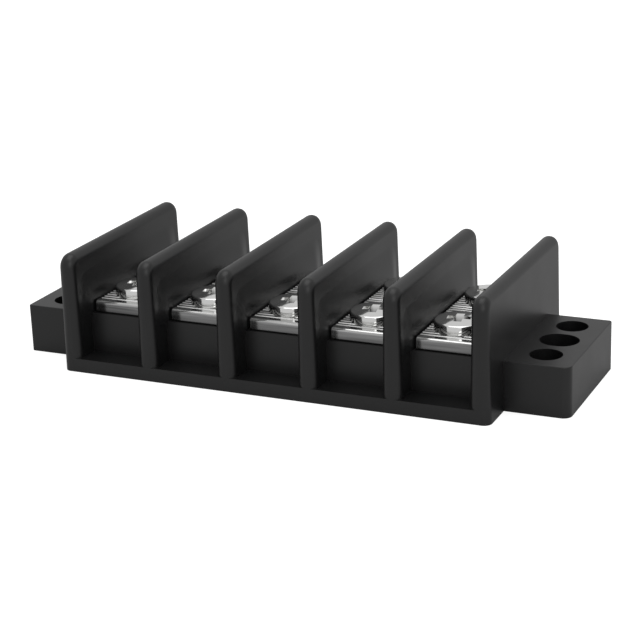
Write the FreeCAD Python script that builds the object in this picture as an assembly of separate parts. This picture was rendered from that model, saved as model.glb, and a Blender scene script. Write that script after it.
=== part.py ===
import FreeCAD, Part
import math
import os

os.makedirs("parts", exist_ok=True)
V = FreeCAD.Vector
UP = V(0, 0, 1)

# The strip: five poles between six barriers. X runs along the strip, Y from its front
# to its back, Z up. The origin is the middle of the underside.
poles = 5
pitch = 11.0
body_depth = 28.5
body_height = 15.4

# Rail under the barriers
rail_height = 1.8
rail_overhang = 0.7
rail_end_lean = 0.45
rail_corner_r = 1.2

# Barriers: thin walls with a full-round edge, thinner at the top than at the foot
barrier_top_thick = 2.0
barrier_foot_thick = 2.44
barrier_corner_r = 1.7
barrier_edge_r = 0.95

# Deck that carries the terminal plates, and the recessed wall below each plate's flange
deck_top = 7.7
deck_wall_y = 9.2
recess_corner_r = 0.9

# Shoulders on the barriers beside each plate
shoulder_out = 0.45
shoulder_bottom = 6.95
shoulder_top = 8.6
shoulder_rise = 1.1
shoulder_straight_y = 10.8
shoulder_end_y = 13.6

# Terminal plates: grooved strip with both ends bent down
plate_gap = 0.3
plate_thick = 0.8
plate_wall_gap = 0.05
bend_inner_r = 0.15
flange_drop = 1.5
groove_pitch = 0.75
groove_width = 0.3
groove_depth = 0.12
collar_wall = 0.7
collar_drop = 2.0
collar_clear = 0.1

# Terminal screws
screw_row_y = 5.5
shank_r = 1.75
thread_clear = 0.03
shank_length = 6.0
tip_chamfer = 0.45
head_r = 3.05
head_height = 1.4
head_chamfer = 0.28
recess_span = 2.9
recess_width = 1.0
recess_depth = 1.0
recess_floor_half = 0.7
recess_turn = 10.0

# Room under the screws' tips, and the moulding's cored pockets
tip_clear = 0.9
core_width = 6.6
core_depth_y = 3.0
core_corner_r = 0.8
core_roof = 2.0

# Mounting ears with three holes in a row, set in from the ear's end
ear_length = 7.48
ear_half_width = 9.05
ear_height = 6.35
ear_corner_r = 1.6
ear_edge = 0.2
hole_inset = 4.05
hole_row_y = 5.35
hole_r = 2.0
slot_half_width = 2.2
slot_length = 4.9

# Worked out from the sizes above
half_depth = body_depth / 2
top_half = barrier_top_thick / 2
foot_half = barrier_foot_thick / 2
barrier_xs = [(i - poles / 2) * pitch for i in range(poles + 1)]
pole_xs = [(i - (poles - 1) / 2) * pitch for i in range(poles)]
end_x = barrier_xs[-1]
rail_foot_x = end_x + foot_half + rail_overhang
ear_reach = rail_foot_x + ear_length
hole_x = ear_reach - hole_inset
plate_top = deck_top + plate_thick
bend_outer_r = bend_inner_r + plate_thick
plate_half_length = deck_wall_y + plate_wall_gap + plate_thick
flange_bottom = plate_top - flange_drop
collar_bore_r = shank_r + thread_clear
collar_r = collar_bore_r + collar_wall
collar_bottom = deck_top - collar_drop
tip_z = plate_top - shank_length


def barrier_half(z):
    """Half of a barrier's thickness at height z."""
    return foot_half + (top_half - foot_half) * z / body_height


shoulder_half = barrier_half(plate_top) + shoulder_out
plate_half_width = pitch / 2 - shoulder_half - plate_gap


def wire(points):
    return Part.makePolygon(points + points[:1])


def prism(points, direction):
    return Part.Face(wire(points)).extrude(direction)


def square(half, z):
    return wire([V(-half, -half, z), V(half, -half, z), V(half, half, z), V(-half, half, z)])


def line(a, b):
    return Part.LineSegment(a, b).toShape()


def arc(a, middle, b):
    return Part.Arc(a, middle, b).toShape()


def rounded_block(half_x, half_y, z0, z1, radius, x=0.0, y=0.0):
    """A block with round upright corners."""
    block = Part.makeBox(2 * half_x, 2 * half_y, z1 - z0, V(x - half_x, y - half_y, z0))
    upright = [e for e in block.Edges if abs(e.tangentAt(e.FirstParameter).z) > 0.9]
    return block.makeFillet(radius, upright)


def mirrored_x(shape):
    return shape.mirror(V(0, 0, 0), V(1, 0, 0))


def mirrored_y(shape):
    return shape.mirror(V(0, 0, 0), V(0, 1, 0))


def moved(shape, x, y=0.0, z=0.0):
    out = shape.copy()
    out.translate(V(x, y, z))
    return out


def rail():
    """Low rail that the barriers stand on, its ends leaning in towards the top."""
    top = rail_foot_x - rail_end_lean
    section = [V(-rail_foot_x, -half_depth, 0), V(rail_foot_x, -half_depth, 0),
               V(top, -half_depth, rail_height), V(-top, -half_depth, rail_height)]
    solid = prism(section, V(0, body_depth, 0))
    corners = [e for e in solid.Edges if e.BoundBox.ZLength > rail_height / 2]
    return solid.makeFillet(rail_corner_r, corners)


def barrier():
    """One barrier on the plane x = 0, with a full-round front, top and back."""
    corner = barrier_corner_r
    lean = corner * (1 - math.sqrt(0.5))
    y, z = half_depth, body_height
    edges = []
    edges.append(line(V(0, -y, 0), V(0, -y, z - corner)))
    edges.append(arc(V(0, -y, z - corner), V(0, -y + lean, z - lean), V(0, -y + corner, z)))
    edges.append(line(V(0, -y + corner, z), V(0, y - corner, z)))
    edges.append(arc(V(0, y - corner, z), V(0, y - lean, z - lean), V(0, y, z - corner)))
    edges.append(line(V(0, y, z - corner), V(0, y, 0)))
    edges.append(line(V(0, y, 0), V(0, -y, 0)))
    side_view = Part.Face(Part.Wire(edges))
    slab = moved(side_view, -foot_half).extrude(V(2 * foot_half, 0, 0))
    taper = [V(-foot_half, -y, 0), V(foot_half, -y, 0), V(top_half, -y, z), V(-top_half, -y, z)]
    slab = slab.common(prism(taper, V(0, 2 * y, 0)))
    rim = []
    for edge in slab.Edges:
        box = edge.BoundBox
        if box.XLength < foot_half and box.ZMax > corner:
            rim.append(edge)
    return slab.makeFillet(barrier_edge_r, rim)


def shoulder():
    """Shoulder on the +X side of a barrier, beside a plate's end; it fades out at both ends."""
    inside = top_half / 2
    root = barrier_half(shoulder_bottom) - shoulder_out / 4
    run = shoulder_end_y - shoulder_straight_y
    rise = shoulder_half - root
    radius = (run ** 2 + rise ** 2) / (2 * rise)
    half_turn = math.asin(run / radius) / 2
    mid_x = root + radius * (1 - math.cos(half_turn))
    mid_y = shoulder_end_y - radius * math.sin(half_turn)
    plan = []
    plan.append(line(V(inside, -shoulder_end_y, 0), V(root, -shoulder_end_y, 0)))
    plan.append(arc(V(root, -shoulder_end_y, 0), V(mid_x, -mid_y, 0),
                    V(shoulder_half, -shoulder_straight_y, 0)))
    plan.append(line(V(shoulder_half, -shoulder_straight_y, 0),
                     V(shoulder_half, shoulder_straight_y, 0)))
    plan.append(arc(V(shoulder_half, shoulder_straight_y, 0), V(mid_x, mid_y, 0),
                    V(root, shoulder_end_y, 0)))
    plan.append(line(V(root, shoulder_end_y, 0), V(inside, shoulder_end_y, 0)))
    plan.append(line(V(inside, shoulder_end_y, 0), V(inside, -shoulder_end_y, 0)))
    outline = Part.Face(Part.Wire(plan)).extrude(V(0, 0, body_height))
    crest = shoulder_top + shoulder_rise
    section = [V(inside, -half_depth, shoulder_bottom), V(shoulder_half, -half_depth, shoulder_bottom),
               V(shoulder_half, -half_depth, shoulder_top), V(root, -half_depth, crest),
               V(inside, -half_depth, crest)]
    return outline.common(prism(section, V(0, body_depth, 0)))


def ear():
    """Mounting ear on the +X end, with a round hole, a slot and a round hole."""
    inner = end_x
    block = Part.makeBox(ear_reach - inner, 2 * ear_half_width, ear_height,
                         V(inner, -ear_half_width, 0))
    outer = []
    for edge in block.Edges:
        if edge.BoundBox.XMin > ear_reach - ear_corner_r and edge.BoundBox.ZLength > ear_height / 2:
            outer.append(edge)
    block = block.makeFillet(ear_corner_r, outer)
    brim = [e for e in block.Edges if e.BoundBox.ZMin > ear_height - ear_edge
            and e.BoundBox.XMax > inner + ear_edge]
    block = block.makeChamfer(ear_edge, brim)
    for y in (-hole_row_y, hole_row_y):
        block = block.cut(Part.makeCylinder(hole_r, ear_height, V(hole_x, y, 0)))
    reach = slot_length / 2 - slot_half_width
    slot = Part.makeBox(2 * reach, 2 * slot_half_width, ear_height,
                        V(hole_x - reach, -slot_half_width, 0))
    for x in (hole_x - reach, hole_x + reach):
        slot = slot.fuse(Part.makeCylinder(slot_half_width, ear_height, V(x, 0, 0)))
    return block.cut(slot)


def pole_bores():
    """What is taken out of the deck at one pole: two blind bores for the collars and the
    screws' tips, and the core that lightens the moulding from below."""
    bore_r = collar_r + collar_clear
    bore_floor = tip_z - tip_clear
    core = rounded_block(core_width / 2, core_depth_y / 2, 0, deck_top - core_roof, core_corner_r)
    for y in (-screw_row_y, screw_row_y):
        core = core.fuse(Part.makeCylinder(bore_r, deck_top - bore_floor, V(0, y, bore_floor)))
    return core


def body():
    """The whole moulding, in one piece."""
    deck = Part.makeBox(2 * end_x, 2 * deck_wall_y, deck_top, V(-end_x, -deck_wall_y, 0))
    wall = barrier()
    side = shoulder()
    pieces = [deck] + [moved(wall, x) for x in barrier_xs]
    solid = rail().fuse(pieces).removeSplitter()
    corners = []
    for edge in solid.Edges:
        box = edge.BoundBox
        at_wall = abs(abs(box.YMin) - deck_wall_y) < 0.01 and box.YLength < 0.01
        upright = box.ZLength > (deck_top - rail_height) / 2
        if at_wall and upright and abs(box.Center.x) < end_x:
            corners.append(edge)
    solid = solid.makeFillet(recess_corner_r, corners)
    sides = []
    for x in barrier_xs[:-1]:
        sides.append(moved(side, x))
    for x in barrier_xs[1:]:
        sides.append(moved(mirrored_x(side), x))
    right_ear = ear()
    solid = solid.fuse(sides + [right_ear, mirrored_x(right_ear)])
    bores = pole_bores()
    for x in pole_xs:
        solid = solid.cut(moved(bores, x))
    return solid.removeSplitter()


def terminal_plate():
    """One plate: a strip bent down at both ends, grooved on top, with two threaded collars."""
    y, z = plate_half_length, plate_top
    outer, inner, thick = bend_outer_r, bend_inner_r, plate_thick
    bend_y = y - outer
    bend_z = z - outer
    diagonal = math.sqrt(0.5)
    half = []
    half.append(line(V(0, 0, z), V(0, bend_y, z)))
    half.append(arc(V(0, bend_y, z), V(0, bend_y + outer * diagonal, bend_z + outer * diagonal),
                    V(0, y, bend_z)))
    half.append(line(V(0, y, bend_z), V(0, y, flange_bottom)))
    half.append(line(V(0, y, flange_bottom), V(0, y - thick, flange_bottom)))
    half.append(line(V(0, y - thick, flange_bottom), V(0, y - thick, bend_z)))
    half.append(arc(V(0, y - thick, bend_z),
                    V(0, bend_y + inner * diagonal, bend_z + inner * diagonal),
                    V(0, bend_y, z - thick)))
    half.append(line(V(0, bend_y, z - thick), V(0, 0, z - thick)))
    half.append(line(V(0, 0, z - thick), V(0, 0, z)))
    strip = moved(Part.Face(Part.Wire(half)), -plate_half_width).extrude(V(2 * plate_half_width, 0, 0))
    strip = strip.fuse(mirrored_y(strip)).removeSplitter()
    for sy in (-screw_row_y, screw_row_y):
        strip = strip.fuse(Part.makeCylinder(collar_r, collar_drop, V(0, sy, collar_bottom)))
    count = int((bend_y - groove_width) / groove_pitch)
    cutters = []
    for i in range(-count, count + 1):
        gy = i * groove_pitch
        vee = [V(-pitch, gy - groove_width / 2, z), V(-pitch, gy + groove_width / 2, z),
               V(-pitch, gy, z - groove_depth)]
        cutters.append(prism(vee, V(2 * pitch, 0, 0)))
    strip = strip.cut(cutters)
    for sy in (-screw_row_y, screw_row_y):
        strip = strip.cut(Part.makeCylinder(collar_bore_r, body_height, V(0, sy, 0)))
    return strip


def screw():
    """One terminal screw with its head's underside at z = 0 and a cross recess on top."""
    profile = [V(0, 0, -shank_length), V(shank_r - tip_chamfer, 0, -shank_length),
               V(shank_r, 0, -shank_length + tip_chamfer), V(shank_r, 0, 0),
               V(head_r, 0, 0), V(head_r, 0, head_height - head_chamfer),
               V(head_r - head_chamfer, 0, head_height), V(0, 0, head_height)]
    solid = Part.Face(wire(profile)).revolve(V(0, 0, 0), UP, 360)
    floor_z = head_height - recess_depth
    long_arm = Part.makeBox(recess_span, recess_width, recess_depth,
                            V(-recess_span / 2, -recess_width / 2, floor_z))
    cross_arm = long_arm.copy()
    cross_arm.rotate(V(0, 0, 0), UP, 90)
    funnel = Part.makeLoft([square(recess_floor_half, floor_z),
                            square(recess_span / 2, head_height)], True, True)
    recess = long_arm.fuse(cross_arm).common(funnel)
    recess.rotate(V(0, 0, 0), UP, recess_turn)
    return solid.cut(recess)


def save(shape, name):
    solids = shape.Solids
    if len(solids) == 1:
        shape = solids[0]
    shape.exportStep("parts/" + name + ".step")
    print(name, len(solids), "solid", round(shape.Volume, 2), "mm3", shape.isValid())


save(body(), "body")
plate = terminal_plate()
fastener = screw()
for number, x in enumerate(pole_xs, start=1):
    save(moved(plate, x), "terminal_plate_" + str(number))
    save(moved(fastener, x, -screw_row_y, plate_top), "front_screw_" + str(number))
    save(moved(fastener, x, screw_row_y, plate_top), "rear_screw_" + str(number))
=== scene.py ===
import bpy
import bmesh
import math
from mathutils import Matrix, Vector


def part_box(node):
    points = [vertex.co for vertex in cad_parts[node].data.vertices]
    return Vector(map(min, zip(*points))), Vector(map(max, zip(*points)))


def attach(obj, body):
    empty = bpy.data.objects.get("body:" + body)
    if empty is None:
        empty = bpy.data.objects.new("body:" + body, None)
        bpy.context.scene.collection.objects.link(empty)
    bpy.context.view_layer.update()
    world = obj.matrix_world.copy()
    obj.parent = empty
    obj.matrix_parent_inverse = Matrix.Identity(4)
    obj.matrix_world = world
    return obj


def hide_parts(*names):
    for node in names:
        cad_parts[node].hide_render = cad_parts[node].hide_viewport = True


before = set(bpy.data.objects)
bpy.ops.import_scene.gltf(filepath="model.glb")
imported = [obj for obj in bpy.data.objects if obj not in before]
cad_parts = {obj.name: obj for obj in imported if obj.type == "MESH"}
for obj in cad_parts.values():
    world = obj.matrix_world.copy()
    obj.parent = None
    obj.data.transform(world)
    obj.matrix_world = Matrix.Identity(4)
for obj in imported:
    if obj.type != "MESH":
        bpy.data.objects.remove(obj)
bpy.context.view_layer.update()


# Camera: a long lens, to the right of the strip and a little above it, as the strip was
# photographed. Its turn about the line of sight is part of that view.
camera_place = (0.093236, -0.200333, 0.081157)
camera_turn = (71.0355, 1.9072, 24.0449)
camera_lens = 102.51
camera_sensor = 36.0
camera_near_limit = 0.005

camera_data = bpy.data.cameras.new("camera")
camera_data.lens = camera_lens
camera_data.sensor_width = camera_sensor
camera_data.clip_start = camera_near_limit
camera = bpy.data.objects.new("camera", camera_data)
camera.location = camera_place
camera.rotation_euler = [math.radians(angle) for angle in camera_turn]
bpy.context.scene.collection.objects.link(camera)
bpy.context.scene.camera = camera
bpy.context.scene.view_settings.view_transform = "Standard"


# Floor: a pale sheet that runs far past the strip and takes its shadow. It glows to the eye, so
# that it looks white, and a little in whatever mirrors it. It is clear from below and lies a hair
# below the strip, so that the underside can be seen.
floor_half = 4.0
floor_gap = 0.00002
floor_colour = (0.62, 0.62, 0.62, 1.0)
floor_glow_to_eye = 0.74
floor_glow_in_mirrors = 0.05


def worked_out(nodes, links, operation, *values):
    """The result of one arithmetic node, each value being a number or a socket."""
    node = nodes.new("ShaderNodeMath")
    node.operation = operation
    for socket, value in zip(node.inputs, values):
        if isinstance(value, float):
            socket.default_value = value
        else:
            links.new(value, socket)
    return node.outputs[0]


def strength_by_ray(nodes, links, plain, more_to_eye, more_in_mirrors):
    """A strength of light that is more to the eye and in mirrors than it is elsewhere."""
    path = nodes.new("ShaderNodeLightPath")
    mirrored = worked_out(nodes, links, "MAXIMUM", path.outputs["Is Glossy Ray"],
                          path.outputs["Is Transmission Ray"])
    strength = worked_out(nodes, links, "MULTIPLY_ADD", mirrored, more_in_mirrors, plain)
    return worked_out(nodes, links, "MULTIPLY_ADD", path.outputs["Is Camera Ray"], more_to_eye,
                      strength)


def floor_paint():
    paint = bpy.data.materials.new("floor_white")
    paint.use_nodes = True
    nodes, links = paint.node_tree.nodes, paint.node_tree.links
    nodes.clear()
    sheet = nodes.new("ShaderNodeBsdfDiffuse")
    sheet.inputs["Color"].default_value = floor_colour
    glow = nodes.new("ShaderNodeEmission")
    links.new(strength_by_ray(nodes, links, 0.0, floor_glow_to_eye, floor_glow_in_mirrors),
              glow.inputs["Strength"])
    both = nodes.new("ShaderNodeAddShader")
    links.new(sheet.outputs[0], both.inputs[0])
    links.new(glow.outputs[0], both.inputs[1])
    clear = nodes.new("ShaderNodeBsdfTransparent")
    side = nodes.new("ShaderNodeNewGeometry")
    by_side = nodes.new("ShaderNodeMixShader")
    links.new(side.outputs["Backfacing"], by_side.inputs["Fac"])
    links.new(both.outputs[0], by_side.inputs[1])
    links.new(clear.outputs[0], by_side.inputs[2])
    out = nodes.new("ShaderNodeOutputMaterial")
    links.new(by_side.outputs[0], out.inputs["Surface"])
    return paint


shape = bmesh.new()
bmesh.ops.create_grid(shape, x_segments=1, y_segments=1, size=floor_half,
                      matrix=Matrix.Translation((0.0, 0.0, -floor_gap)))
floor_mesh = bpy.data.meshes.new("floor")
shape.to_mesh(floor_mesh)
shape.free()
floor_mesh.materials.append(floor_paint())
floor = bpy.data.objects.new("floor", floor_mesh)
bpy.context.scene.collection.objects.link(floor)


# Studio light: an evenly pale room that looks white to the eye, a wide soft box straight above and
# a weaker one at the front right, which draws the streak on each barrier's front corner.
room_strength = 0.60
room_more_to_eye = 0.40
room_more_in_mirrors = 0.02
soft_boxes = (("overhead", (0.0, 0.0, 0.60), 0.5, 1.1),
              ("front_right", (0.30, -0.36, 0.26), 0.34, 0.36))

world = bpy.data.worlds.new("room")
bpy.context.scene.world = world
world.use_nodes = True
room_nodes, room_links = world.node_tree.nodes, world.node_tree.links
room = room_nodes["Background"]
room.inputs["Color"].default_value = (1.0, 1.0, 1.0, 1.0)
room_links.new(strength_by_ray(room_nodes, room_links, room_strength, room_more_to_eye,
                               room_more_in_mirrors), room.inputs["Strength"])

for name, place, size, power in soft_boxes:
    lamp_data = bpy.data.lights.new(name, "AREA")
    lamp_data.shape = "SQUARE"
    lamp_data.size = size
    lamp_data.energy = power
    lamp = bpy.data.objects.new(name, lamp_data)
    lamp.location = place
    lamp.rotation_euler = (-Vector(place)).to_track_quat("-Z", "Y").to_euler()
    bpy.context.scene.collection.objects.link(lamp)


# Moulding: black plastic, pressed in one piece with its barriers, deck, rail and ears. The barriers
# taper and have full-round edges, swell beside the plates and stand on the rail's outer face. The
# skin is semi-matt, with soft uneven patches and a fine grain.
mm = 0.001
near = 0.01 * mm
beyond = 1.0 * mm
poles = 5
pitch = 11.0 * mm
half_depth = 14.25 * mm
top_z = 15.4 * mm
top_half = 1.05 * mm
foot_half = 1.325 * mm
corner_round = 1.7 * mm
corner_steps = 7
edge_round = 1.0 * mm
edge_steps = 6
rail_top = 1.8 * mm
rail_corner = 1.0 * mm
rail_steps = 6
seat_half = 9.6 * mm
seat_top = 7.85 * mm
wall_half = 10.75 * mm
wall_top = 7.0 * mm
swell = 0.36 * mm
swell_straight_z = 8.7 * mm
swell_top = 13.4 * mm
swell_straight_y = 10.3 * mm
swell_end_y = 13.2 * mm
swell_sunk = 0.02 * mm
swell_steps_along = 66
swell_steps_up = 14
ear_half = 9.05 * mm
ear_top = 6.35 * mm
ear_round = 1.1 * mm
ear_tight_round = 0.35 * mm
ear_steps = 6
ear_rim = 0.15 * mm
ear_rim_steps = 2
hole_inset = 4.05 * mm
hole_row = 5.35 * mm
hole_r = 2.0 * mm
slot_r = 2.2 * mm
slot_shift = 0.25 * mm
hole_steps = 48
bore_r = 2.58 * mm
bore_floor = 1.6 * mm
core_half_x = 3.3 * mm
core_half_y = 1.5 * mm
core_round = 0.8 * mm
core_steps = 5
core_top = 5.85 * mm
screw_row = 5.5 * mm
end_x = poles / 2 * pitch
barrier_places = [(i - poles / 2) * pitch for i in range(poles + 1)]
pole_places = [(i - (poles - 1) / 2) * pitch for i in range(poles)]
body_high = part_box("body")[1]
plastic_dark = (0.004, 0.004, 0.0042, 1.0)
plastic_pale = (0.007, 0.007, 0.0073, 1.0)
plastic_smooth, plastic_rough = 0.34, 0.42
plastic_patches, plastic_grains = 220.0, 2600.0
plastic_grain_depth, plastic_grain_strength = 0.006 * mm, 0.3
moulding_smooth_limit = 32.0
skin_detail = 3.0
flat_below = -0.999
parallel_share = 0.9


def principled(name):
    """A new material, its nodes, its links and its one shader."""
    paint = bpy.data.materials.new(name)
    paint.use_nodes = True
    tree = paint.node_tree
    return paint, tree.nodes, tree.links, tree.nodes["Principled BSDF"]


def skin_group():
    """Unevenness that every finish here has: soft patches and a fine grain, both from 0 to 1."""
    tree = bpy.data.node_groups.new("skin", "ShaderNodeTree")
    sockets = tree.interface
    sockets.new_socket("Place", in_out="INPUT", socket_type="NodeSocketVector")
    sockets.new_socket("Patches a Metre", in_out="INPUT", socket_type="NodeSocketFloat")
    sockets.new_socket("Grains a Metre", in_out="INPUT", socket_type="NodeSocketFloat")
    sockets.new_socket("Patches", in_out="OUTPUT", socket_type="NodeSocketFloat")
    sockets.new_socket("Grain", in_out="OUTPUT", socket_type="NodeSocketFloat")
    nodes, links = tree.nodes, tree.links
    given = nodes.new("NodeGroupInput")
    made = nodes.new("NodeGroupOutput")
    for count, result in (("Patches a Metre", "Patches"), ("Grains a Metre", "Grain")):
        noise = nodes.new("ShaderNodeTexNoise")
        noise.inputs["Detail"].default_value = skin_detail
        links.new(given.outputs["Place"], noise.inputs["Vector"])
        links.new(given.outputs[count], noise.inputs["Scale"])
        links.new(noise.outputs["Fac"], made.inputs[result])
    return tree


skin = skin_group()


def place_skin(nodes, links, place, patches, grains):
    """Puts the skin group into a material."""
    node = nodes.new("ShaderNodeGroup")
    node.node_tree = skin
    links.new(place, node.inputs["Place"])
    node.inputs["Patches a Metre"].default_value = patches
    node.inputs["Grains a Metre"].default_value = grains
    return node


def spread(nodes, links, value, low, high, start=0.0, end=1.0):
    """Turns a value between start and end into one between low and high."""
    node = nodes.new("ShaderNodeMapRange")
    node.inputs["From Min"].default_value = start
    node.inputs["From Max"].default_value = end
    node.inputs["To Min"].default_value = low
    node.inputs["To Max"].default_value = high
    links.new(value, node.inputs["Value"])
    return node.outputs["Result"]


def ramp(nodes, links, value, first, last, *between):
    """A colour from the first to the last as a value goes from 0 to 1, by others between."""
    node = nodes.new("ShaderNodeValToRGB")
    stops = node.color_ramp.elements
    stops[0].color = first
    stops[1].color = last
    for share, colour in between:
        stops.new(share).color = colour
    links.new(value, node.inputs["Fac"])
    return node.outputs["Color"]


def relief(nodes, links, height, depth, strength):
    """A bump of a given depth in metres."""
    node = nodes.new("ShaderNodeBump")
    node.inputs["Distance"].default_value = depth
    node.inputs["Strength"].default_value = strength
    links.new(height, node.inputs["Height"])
    return node.outputs["Normal"]


def moulding_paint():
    paint, nodes, links, shader = principled("black_plastic")
    coords = nodes.new("ShaderNodeTexCoord")
    marks = place_skin(nodes, links, coords.outputs["Object"], plastic_patches, plastic_grains)
    patches = marks.outputs["Patches"]
    links.new(ramp(nodes, links, patches, plastic_dark, plastic_pale), shader.inputs["Base Color"])
    links.new(spread(nodes, links, patches, plastic_smooth, plastic_rough),
              shader.inputs["Roughness"])
    links.new(relief(nodes, links, marks.outputs["Grain"], plastic_grain_depth,
                     plastic_grain_strength), shader.inputs["Normal"])
    return paint


def thickness_half(z):
    """Half of a barrier's thickness at height z."""
    return foot_half + (top_half - foot_half) * z / top_z


def block(low, high):
    """A box between two corners."""
    shape = bmesh.new()
    bmesh.ops.create_cube(shape, size=1.0)
    for v in shape.verts:
        for axis in range(3):
            v.co[axis] = high[axis] if v.co[axis] > 0 else low[axis]
    return shape


def drum(radius, low_z, high_z, x, y):
    """An upright cylinder."""
    shape = bmesh.new()
    middle = Matrix.Translation((x, y, (low_z + high_z) / 2))
    bmesh.ops.create_cone(shape, cap_ends=True, segments=hole_steps, radius1=radius,
                          radius2=radius, depth=high_z - low_z, matrix=middle)
    return shape


def rounded(shape, edges, radius, steps):
    bmesh.ops.bevel(shape, geom=edges, offset=radius, segments=steps, profile=0.5,
                    affect="EDGES", material=-1)


def runs_along(edge, axis):
    way = edge.verts[1].co - edge.verts[0].co
    return abs(way[axis]) > parallel_share * way.length


def upright_edges(shape):
    return [e for e in shape.edges if runs_along(e, 2)]


def moved_verts(geometry):
    return [item for item in geometry if isinstance(item, bmesh.types.BMVert)]


def joined(parts):
    """Several shapes in one, each still a shell of its own."""
    whole = bmesh.new()
    for part in parts:
        carrier = bpy.data.meshes.new("carrier")
        part.to_mesh(carrier)
        part.free()
        whole.from_mesh(carrier)
        bpy.data.meshes.remove(carrier)
    return whole


def fused(name, shells, cutters):
    """One clean mesh out of overlapping shells, less what the cutters take away."""
    carriers = []
    for title, parts in (("shells", shells), ("cutters", cutters)):
        whole = joined(parts)
        carrier = bpy.data.meshes.new(title)
        whole.to_mesh(carrier)
        whole.free()
        item = bpy.data.objects.new(title, carrier)
        bpy.context.scene.collection.objects.link(item)
        carriers.append(item)
    base, tool = carriers
    cut = base.modifiers.new("cut", "BOOLEAN")
    cut.operation = "DIFFERENCE"
    cut.solver = "EXACT"
    cut.use_self = True
    cut.object = tool
    graph = bpy.context.evaluated_depsgraph_get()
    mesh = bpy.data.meshes.new_from_object(base.evaluated_get(graph))
    mesh.name = name
    for item in carriers:
        bpy.data.meshes.remove(item.data)
    return mesh


def dressed(name, mesh, paint, smooth_limit):
    """A piece with its finish, round where its faces meet at a small angle and flat below."""
    for face in mesh.polygons:
        face.use_smooth = face.normal.z > flat_below
    mesh.set_sharp_from_angle(angle=math.radians(smooth_limit))
    mesh.materials.clear()
    mesh.materials.append(paint)
    piece = bpy.data.objects.new(name, mesh)
    bpy.context.scene.collection.objects.link(piece)
    even = piece.modifiers.new("even_normals", "WEIGHTED_NORMAL")
    even.keep_sharp = True
    return piece


def barrier_shape(x):
    """One barrier: a tapering wall with two round corners and a full-round edge."""
    shape = block((-foot_half, -half_depth, 0.0), (foot_half, half_depth, top_z))
    for v in shape.verts:
        if v.co.z > rail_top:
            v.co.x = math.copysign(top_half, v.co.x)
    corners = [e for e in shape.edges if runs_along(e, 0) and e.verts[0].co.z > rail_top]
    rounded(shape, corners, corner_round, corner_steps)
    rim = [e for e in shape.edges if not runs_along(e, 0)
           and max(v.co.z for v in e.verts) > rail_top]
    rounded(shape, rim, edge_round, edge_steps)
    bmesh.ops.translate(shape, vec=(x, 0, 0), verts=shape.verts)
    return shape


def fade(distance, length):
    """Share that falls smoothly from 1 to 0 as a distance grows from 0 to the length."""
    share = min(max(distance / length, 0.0), 1.0)
    return 0.5 + 0.5 * math.cos(math.pi * share)


def swelling_shape(x, side):
    """Swelling on one side of a barrier: upright beside the plate, faded out above and beyond."""
    shape = bmesh.new()
    bmesh.ops.create_grid(shape, x_segments=swell_steps_along, y_segments=swell_steps_up, size=0.5)
    face_x = thickness_half(swell_straight_z) + swell
    for v in shape.verts:
        y = v.co.x * 2 * swell_end_y
        z = wall_top + (v.co.y + 0.5) * (swell_top - wall_top)
        share = fade(z - swell_straight_z, swell_top - swell_straight_z)
        share *= fade(abs(y) - swell_straight_y, swell_end_y - swell_straight_y)
        inside = thickness_half(z) - swell_sunk
        v.co = Vector((inside + (face_x - inside) * share, y, z))
    back = bmesh.ops.extrude_face_region(shape, geom=shape.faces[:])["geom"]
    bmesh.ops.translate(shape, vec=(-top_half / 2, 0, 0), verts=moved_verts(back))
    bmesh.ops.scale(shape, vec=(side, 1, 1), verts=shape.verts)
    bmesh.ops.translate(shape, vec=(x, 0, 0), verts=shape.verts)
    bmesh.ops.recalc_face_normals(shape, faces=shape.faces)
    return shape


def ear_shape(turned):
    """One ear; the ear on the other end is the same one, turned half round."""
    shape = block((end_x, -ear_half, 0.0), (body_high.x, ear_half, ear_top))
    for y, radius in ((-ear_half, ear_round), (ear_half, ear_tight_round)):
        corner = [e for e in upright_edges(shape) if e.verts[0].co.x > body_high.x - near
                  and abs(e.verts[0].co.y - y) < near]
        rounded(shape, corner, radius, ear_steps)
    rim = [e for e in shape.edges if min(v.co.z for v in e.verts) > ear_top - near
           and max(v.co.x for v in e.verts) > end_x + near]
    rounded(shape, rim, ear_rim, ear_rim_steps)
    if turned:
        bmesh.ops.rotate(shape, matrix=Matrix.Rotation(math.pi, 3, "Z"), verts=shape.verts)
    return shape


def moulding_mesh():
    rail = block((-end_x - foot_half, -half_depth, 0.0), (end_x + foot_half, half_depth, rail_top))
    for v in rail.verts:
        v.co.x = math.copysign(end_x + thickness_half(v.co.z), v.co.x)
    rounded(rail, upright_edges(rail), rail_corner, rail_steps)
    shells = [rail]
    shells.append(block((-end_x, -wall_half, 0.0), (end_x, wall_half, wall_top)))
    shells.append(block((-end_x, -seat_half, 0.0), (end_x, seat_half, seat_top)))
    shells += [barrier_shape(x) for x in barrier_places]
    shells += [swelling_shape(x, 1) for x in barrier_places[:-1]]
    shells += [swelling_shape(x, -1) for x in barrier_places[1:]]
    shells += [ear_shape(False), ear_shape(True)]
    cutters = []
    for side in (-1, 1):
        hole_x = side * (body_high.x - hole_inset)
        for y in (-hole_row, hole_row):
            cutters.append(drum(hole_r, -beyond, ear_top + beyond, hole_x, y))
        slot = drum(slot_r, -beyond, ear_top + beyond, hole_x, 0.0)
        for v in slot.verts:
            v.co.x += math.copysign(slot_shift, v.co.x - hole_x)
        cutters.append(slot)
    for x in pole_places:
        core = block((x - core_half_x, -core_half_y, -beyond),
                     (x + core_half_x, core_half_y, core_top))
        rounded(core, upright_edges(core), core_round, core_steps)
        cutters.append(core)
        for y in (-screw_row, screw_row):
            cutters.append(drum(bore_r, bore_floor, seat_top + beyond, x, y))
    return fused("moulding", shells, cutters)


moulding = dressed("moulding", moulding_mesh(), moulding_paint(), moulding_smooth_limit)
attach(moulding, "strip")
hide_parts("body")


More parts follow.
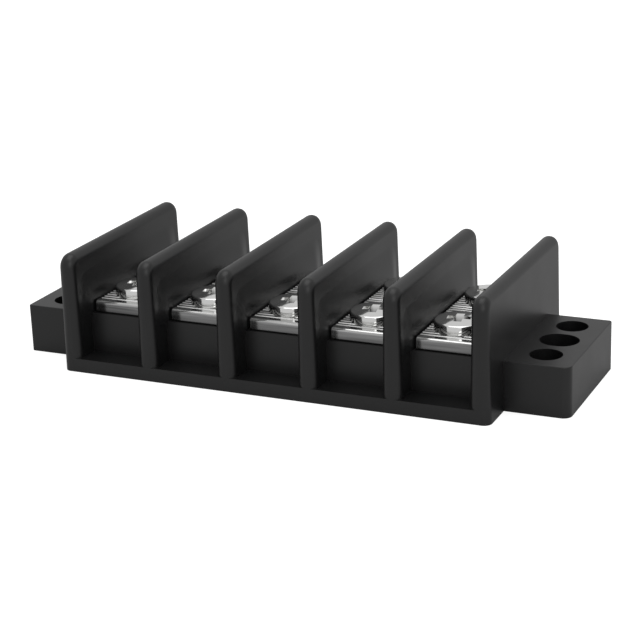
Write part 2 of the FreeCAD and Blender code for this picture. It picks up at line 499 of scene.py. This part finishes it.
# Terminal plates: half-hard brass strip, rolled with cross grooves, bent down at both ends and
# tin plated. Two collars are drawn out of each plate for its screws. The tin is rougher in the
# grooves and streaked along the strip; painted shade darkens it down the bends and flanges.
plate_top = 8.5 * mm
plate_thick = 0.65 * mm
plate_half_length = 10.3 * mm
plate_half_width = 3.70 * mm
bend_round = 0.42 * mm
bend_steps = 8
bend_inner_round = 0.1 * mm
bend_inner_steps = 3
flange_bottom = 7.1 * mm
groove_step = 0.75 * mm
groove_half = 0.2 * mm
groove_depth = 0.2 * mm
groove_count = 12
groove_core, groove_rim = 0.16 * mm, 0.22 * mm
grooves_end = 9.3 * mm
collar_r = 2.48 * mm
collar_bore = 1.78 * mm
collar_bottom = 5.85 * mm
# The flange and bend colours are painted shade: the tin darkens from the top down to the flange's
# lower edge.
flange_painted_shade = (0.13, 0.13, 0.13, 1.0)
bend_painted_shade = (0.27, 0.27, 0.27, 1.0)
bend_shade_share = 0.72
top_colour = (0.80, 0.80, 0.79, 1.0)
tin_smooth, tin_rough = 0.08, 0.20
groove_roughness = 0.38
streak_stretch = (0.03, 1.0, 1.0)
streak_dark, streak_bright = -0.3, 2.2
tin_patches, tin_grains = 2300.0, 4000.0
tin_grain_depth, tin_grain_strength = 0.004 * mm, 0.3
plate_smooth_limit = 25.0


def plate_paint():
    paint, nodes, links, shader = principled("bright_tin")
    coords = nodes.new("ShaderNodeTexCoord")
    stretch = nodes.new("ShaderNodeMapping")
    stretch.inputs["Scale"].default_value = streak_stretch
    links.new(coords.outputs["Object"], stretch.inputs["Vector"])
    marks = place_skin(nodes, links, stretch.outputs["Vector"], tin_patches, tin_grains)
    links.new(relief(nodes, links, marks.outputs["Grain"], tin_grain_depth, tin_grain_strength),
              shader.inputs["Normal"])
    place = nodes.new("ShaderNodeSeparateXYZ")
    links.new(coords.outputs["Object"], place.inputs["Vector"])
    from_groove = worked_out(nodes, links, "PINGPONG", place.outputs["Y"], groove_step / 2)
    in_groove = spread(nodes, links, from_groove, groove_roughness, 0.0, groove_core, groove_rim)
    reach = worked_out(nodes, links, "ABSOLUTE", place.outputs["Y"])
    on_top = worked_out(nodes, links, "LESS_THAN", reach, grooves_end)
    plain = spread(nodes, links, marks.outputs["Patches"], tin_smooth, tin_rough)
    links.new(worked_out(nodes, links, "MULTIPLY_ADD", in_groove, on_top, plain),
              shader.inputs["Roughness"])
    # Painted shade: the tin's colour darkens from the plate's top down the bend to the flange's
    # lower edge.
    height = spread(nodes, links, place.outputs["Z"], 0.0, 1.0, flange_bottom, plate_top)
    streaks = nodes.new("ShaderNodeVectorMath")
    streaks.operation = "SCALE"
    links.new(ramp(nodes, links, height, flange_painted_shade, top_colour, (bend_shade_share, bend_painted_shade)),
              streaks.inputs["Vector"])
    links.new(spread(nodes, links, marks.outputs["Patches"], streak_dark, streak_bright),
              streaks.inputs["Scale"])
    links.new(streaks.outputs["Vector"], shader.inputs["Base Color"])
    shader.inputs["Metallic"].default_value = 1.0
    return paint


def strip_shape():
    """The bent strip, drawn as its outline from the side and pulled out to its width."""
    y, inner = plate_half_length, plate_half_length - plate_thick
    top, under = plate_top, plate_top - plate_thick
    outline = [(-y, flange_bottom), (-inner, flange_bottom), (-inner, under), (inner, under),
               (inner, flange_bottom), (y, flange_bottom), (y, top)]
    for i in range(groove_count, -groove_count - 1, -1):
        middle = i * groove_step
        outline += [(middle + groove_half, top), (middle, top - groove_depth),
                    (middle - groove_half, top)]
    outline.append((-y, top))
    shape = bmesh.new()
    side = shape.faces.new([shape.verts.new((-plate_half_width, a, b)) for a, b in outline])
    pulled = bmesh.ops.extrude_face_region(shape, geom=[side])["geom"]
    bmesh.ops.translate(shape, vec=(2 * plate_half_width, 0, 0), verts=moved_verts(pulled))
    for place, radius, steps in (((y, top), bend_round, bend_steps),
                                 ((inner, under), bend_inner_round, bend_inner_steps)):
        bend = [e for e in shape.edges if runs_along(e, 0)
                and abs(abs(e.verts[0].co.y) - place[0]) < near
                and abs(e.verts[0].co.z - place[1]) < near]
        rounded(shape, bend, radius, steps)
    bmesh.ops.recalc_face_normals(shape, faces=shape.faces)
    return shape


def plate_mesh():
    shells = [strip_shape()]
    cutters = []
    for y in (-screw_row, screw_row):
        shells.append(drum(collar_r, collar_bottom, plate_top - plate_thick / 2, 0.0, y))
        cutters.append(drum(collar_bore, collar_bottom - beyond, plate_top + beyond, 0.0, y))
    return fused("plate", shells, cutters)


tin = plate_paint()
template = plate_mesh()
for number, x in enumerate(pole_places, start=1):
    mesh = template.copy()
    mesh.transform(Matrix.Translation((x, 0, 0)))
    plate = dressed("grooved_plate_%d" % number, mesh, tin, plate_smooth_limit)
    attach(plate, "strip")
    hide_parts("terminal_plate_%d" % number)


# Terminal screws: steel, cold headed and thread rolled, then bright nickel plated. The head has a
# low dome, a narrow bevel and a cross recess with painted shade that deepens towards its floor;
# the thread is M3.5.
head_height = 1.4 * mm
head_bevel = 0.13 * mm
head_dome = 0.22 * mm
dome_steps = 4
under_edge = 0.05 * mm
under_steps = 3
cross_half = 1.45 * mm
cross_floor_half = 0.7 * mm
cross_width = 1.0 * mm
cross_depth = 1.0 * mm
cross_turn = 10.0
cross_margin = 0.2175 * mm
shade_r_inner, shade_r_outer = 1.595 * mm, 1.74 * mm
shade_start = 0.2 * mm
shade_floor = 0.1 * mm
head_top = 9.9 * mm
shank_r = 1.75 * mm
root_share = 0.81
neck_length = 0.6 * mm
tip_bevel = 0.45 * mm
round_steps = 64
thread_pitch = 0.6 * mm
thread_crest = 0.08 * mm
thread_steps = 24
nickel_colour = (0.86, 0.86, 0.85, 1.0)
# The colour in the cross recess is painted shade, deepening towards the recess's floor.
nickel_cross_painted_shade = (0.25, 0.25, 0.25, 1.0)
nickel_smooth, nickel_rough = 0.05, 0.14
nickel_patches, nickel_grains = 700.0, 5000.0
nickel_grain_depth, nickel_grain_strength = 0.003 * mm, 0.25
screw_smooth_limit = 32.0


def cross_painted_shade_share(nodes, links, coords):
    """Share of painted shade at a point in a cross recess: 0 near the head's top, 1 at the recess's
    floor.
    """
    place = nodes.new("ShaderNodeSeparateXYZ")
    links.new(coords, place.inputs["Vector"])
    across = worked_out(nodes, links, "WRAP", place.outputs["X"], pitch / 2, -pitch / 2)
    reach = worked_out(nodes, links, "ABSOLUTE", place.outputs["Y"])
    along = worked_out(nodes, links, "SUBTRACT", reach, screw_row)
    flat = nodes.new("ShaderNodeCombineXYZ")
    links.new(across, flat.inputs["X"])
    links.new(along, flat.inputs["Y"])
    radius = nodes.new("ShaderNodeVectorMath")
    radius.operation = "LENGTH"
    links.new(flat.outputs["Vector"], radius.inputs[0])
    inside = spread(nodes, links, radius.outputs["Value"], 0.0, 1.0, shade_r_outer, shade_r_inner)
    in_head = spread(nodes, links, place.outputs["Z"], 0.0, 1.0, plate_top,
                     plate_top + shade_floor)
    depth = spread(nodes, links, place.outputs["Z"], 0.0, 1.0, head_top - shade_start,
                   head_top - cross_depth)
    within = worked_out(nodes, links, "MULTIPLY", inside, in_head)
    return worked_out(nodes, links, "MULTIPLY", within, depth)


def screw_paint():
    paint, nodes, links, shader = principled("bright_nickel")
    coords = nodes.new("ShaderNodeTexCoord").outputs["Object"]
    marks = place_skin(nodes, links, coords, nickel_patches, nickel_grains)
    links.new(spread(nodes, links, marks.outputs["Patches"], nickel_smooth, nickel_rough),
              shader.inputs["Roughness"])
    links.new(relief(nodes, links, marks.outputs["Grain"], nickel_grain_depth,
                     nickel_grain_strength), shader.inputs["Normal"])
    # Painted shade: the nickel darkens down the cross recess.
    depth = cross_painted_shade_share(nodes, links, coords)
    links.new(ramp(nodes, links, depth, nickel_colour, nickel_cross_painted_shade),
              shader.inputs["Base Color"])
    shader.inputs["Metallic"].default_value = 1.0
    return paint


def ring_edges(shape, radius, height):
    """The edges of a turned shape that lie on one circle."""
    return [e for e in shape.edges if all(abs(v.co.xy.length - radius) < near
                                          and abs(v.co.z - height) < near for v in e.verts)]


def head_surface(radius, head_r):
    """Height of a head's domed top above its underside, at some radius."""
    return head_height - head_dome * (radius / head_r) ** 2


def sink_cross(shape, head_r, rim_r):
    """Closes a head's top round a cross recess and sinks the recess."""
    half = cross_width / 2
    corners = []
    for quarter in range(4):
        turn = Matrix.Rotation(quarter * math.pi / 2, 3, "Z")
        for x, y in ((half, half), (cross_half, half), (cross_half, -half)):
            corners.append(turn @ Vector((x, y, head_surface(math.hypot(x, y), head_r))))
    corners.sort(key=lambda place: math.atan2(place.y, place.x))
    top = [shape.verts.new(place) for place in corners]
    rim = [shape.edges.new(pair) for pair in zip(top, top[1:] + top[:1])]
    bmesh.ops.triangle_fill(shape, edges=rim + ring_edges(shape, rim_r, head_surface(rim_r, head_r)),
                            use_beauty=True)
    sunk = bmesh.ops.extrude_edge_only(shape, edges=rim)["geom"]
    floor_verts = moved_verts(sunk)
    floor_edges = [item for item in sunk if isinstance(item, bmesh.types.BMEdge)
                   and all(v in floor_verts for v in item.verts)]
    for v in floor_verts:
        v.co.z = head_height - cross_depth
        for axis in (0, 1):
            if abs(v.co[axis]) > cross_floor_half:
                v.co[axis] = math.copysign(cross_floor_half, v.co[axis])
    bmesh.ops.holes_fill(shape, edges=floor_edges, sides=0)
    bmesh.ops.recalc_face_normals(shape, faces=shape.faces)


def wind_thread(shape, root_r, length):
    """Winds the thread's ridge round the shank, from above its tip to below its neck."""
    crest = thread_crest / 2
    flank = thread_pitch / 2 - crest
    foot_r = root_r - under_edge
    section = [(foot_r, -flank), (shank_r, -crest), (shank_r, crest), (foot_r, flank)]
    start = -length + tip_bevel + thread_pitch
    ring = [shape.verts.new((r, 0.0, start + z)) for r, z in section]
    edges = [shape.edges.new(pair) for pair in zip(ring, ring[1:] + ring[:1])]
    turns = (-neck_length - thread_pitch / 2 - start) / thread_pitch
    steps = int(turns * thread_steps)
    wound = bmesh.ops.spin(shape, geom=ring + edges, axis=(0, 0, 1), cent=(0, 0, 0),
                           dvec=(0, 0, thread_pitch / thread_steps),
                           angle=2 * math.pi * steps / thread_steps, steps=steps)
    shape.faces.new(ring)
    shape.faces.new(moved_verts(wound["geom_last"]))
    bmesh.ops.recalc_face_normals(shape, faces=shape.faces)


def screw_shape(head_r, length):
    """One screw, with its head's underside at height 0."""
    root_r = shank_r * root_share
    rim_r = cross_half + cross_margin
    flat_r = head_r - head_bevel
    flat_z = head_surface(flat_r, head_r)
    dome = [rim_r + (flat_r - rim_r) * step / dome_steps for step in range(dome_steps)]
    outline = [(r, head_surface(r, head_r)) for r in dome]
    outline += [(flat_r, flat_z), (head_r, flat_z - head_bevel), (head_r, 0.0), (root_r, 0.0),
                (root_r, -length + tip_bevel), (root_r - tip_bevel, -length)]
    shape = bmesh.new()
    chain = [shape.verts.new((r, 0.0, z)) for r, z in outline]
    edges = [shape.edges.new(pair) for pair in zip(chain, chain[1:])]
    bmesh.ops.spin(shape, geom=chain + edges, axis=(0, 0, 1), cent=(0, 0, 0),
                   angle=2 * math.pi, steps=round_steps, use_merge=True)
    bmesh.ops.holes_fill(shape, edges=ring_edges(shape, root_r - tip_bevel, -length), sides=0)
    rounded(shape, ring_edges(shape, flat_r, flat_z) + ring_edges(shape, head_r, flat_z - head_bevel)
            + ring_edges(shape, head_r, 0.0), under_edge, under_steps)
    sink_cross(shape, head_r, rim_r)
    wind_thread(shape, root_r, length)
    return shape


nickel = screw_paint()
for row in ("front", "rear"):
    for number in range(1, poles + 1):
        node = "%s_screw_%d" % (row, number)
        low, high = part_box(node)
        shape = screw_shape((high.x - low.x) / 2, high.z - low.z - head_height)
        turn = Matrix.Rotation(math.radians(cross_turn), 4, "Z")
        place = Matrix.Translation(((low.x + high.x) / 2, (low.y + high.y) / 2,
                                    high.z - head_height))
        shape.transform(place @ turn)
        for face in shape.faces:
            face.smooth = True
        mesh = bpy.data.meshes.new("dressed_" + node)
        shape.to_mesh(mesh)
        shape.free()
        mesh.set_sharp_from_angle(angle=math.radians(screw_smooth_limit))
        mesh.materials.append(nickel)
        screw = bpy.data.objects.new("dressed_" + node, mesh)
        bpy.context.scene.collection.objects.link(screw)
        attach(screw, node)
        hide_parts(node)
